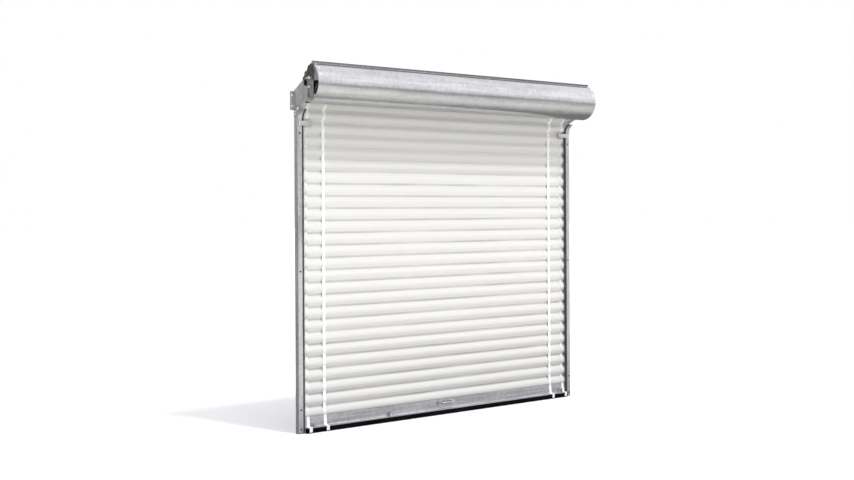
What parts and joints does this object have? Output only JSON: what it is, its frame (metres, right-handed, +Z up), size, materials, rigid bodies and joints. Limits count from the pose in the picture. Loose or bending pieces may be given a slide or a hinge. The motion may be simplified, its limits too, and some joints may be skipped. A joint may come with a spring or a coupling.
{
  "type": "roller shutter door",
  "caption": "Surface mounted rolling sheet door: corrugated curtain in two wall guides, sprung drum, half-round hood, bottom bar with rubber seal.",
  "frame": {"origin": "on the floor, midway between the two guides and midway between the wall and the hood's front", "axes": "+X along the wall to the right as seen from the room, +Y into the wall, +Z up"},
  "size_m": [2.586, 0.3179, 2.4415],
  "materials": {
    "galvanised_steel": "galvanised, dull",
    "hood_sheet": "bright galvanised",
    "bar_steel": "galvanised, satin",
    "dark_plate": "dark primer",
    "zinc_fasteners": "zinc plated",
    "axle_steel": "mill finish",
    "spring_steel": "oiled",
    "drum_steel": "pressed, galvanised",
    "nylon_bush": "natural nylon",
    "white_paint": "baked polyester, semi-gloss",
    "white_tape": "woven",
    "black_strip": "matt",
    "black_rubber": "matt"
  },
  "bodies": {
    "frame": {"guide_left": "galvanised_steel", "guide_right": "galvanised_steel", "head_stop_left": "galvanised_steel", "head_stop_right": "galvanised_steel", "bracket_left": "galvanised_steel", "bracket_right": "galvanised_steel", "hood": "hood_sheet", "end_plate_left": "dark_plate", "end_plate_right": "dark_plate", "head_stop_rivets": "zinc_fasteners", "guide_foot_screws": "zinc_fasteners", "bracket_bolts": "zinc_fasteners", "axle_u_bolts": "zinc_fasteners", "axle_clamp_nuts": "zinc_fasteners", "hood_screws": "zinc_fasteners", "axle": "axle_steel", "spring_collars": "axle_steel", "spring_left": "spring_steel", "spring_right": "spring_steel", "curtain_head_sheet": "white_paint", "wear_tape_heads": "white_tape", "guide_seal_left": "black_strip", "guide_seal_right": "black_strip"},
    "curtain": {"bottom_bar": "bar_steel", "bottom_angle": "bar_steel", "bottom_seal": "black_rubber", "stop_lug_left": "galvanised_steel", "stop_lug_right": "galvanised_steel", "lift_handle": "galvanised_steel", "hand_tab": "galvanised_steel", "bar_rivets": "zinc_fasteners", "handle_rivets": "zinc_fasteners", "wear_tape_tails": "white_tape", "curtain_sheet_1": "white_paint", "curtain_sheet_2": "white_paint", "curtain_sheet_3": "white_paint", "curtain_sheet_4": "white_paint", "wear_tape_1": "white_tape", "wear_tape_2": "white_tape", "wear_tape_3": "white_tape", "wear_tape_4": "white_tape"},
    "drum": {"drum_sheet": "white_paint", "drum_wheel_1": "drum_steel", "drum_wheel_2": "drum_steel", "drum_wheel_3": "drum_steel", "drum_wheel_4": "drum_steel", "drum_wheel_5": "drum_steel", "drum_bearing_1": "nylon_bush", "drum_bearing_2": "nylon_bush", "drum_bearing_3": "nylon_bush", "drum_bearing_4": "nylon_bush", "drum_bearing_5": "nylon_bush"}
  },
  "joints": [
    {"name": "curtain_lift", "type": "slide", "parent": "frame", "child": "curtain", "axis": [0, 0, 1], "range_m": [0, 1.9695], "deforming": ["curtain_sheet_1", "curtain_sheet_2", "curtain_sheet_3", "curtain_sheet_4", "wear_tape_1", "wear_tape_2", "wear_tape_3", "wear_tape_4"]},
    {"name": "drum_turn", "type": "hinge", "parent": "frame", "child": "drum", "pos_m": [0, -0.026, 2.304], "axis": [1, 0, 0], "range_deg": [0, 1050]}
  ],
  "couplings": [
    {"joint": "drum_turn", "follows": "curtain_lift", "rad_per_m": 9.26}
  ]
}
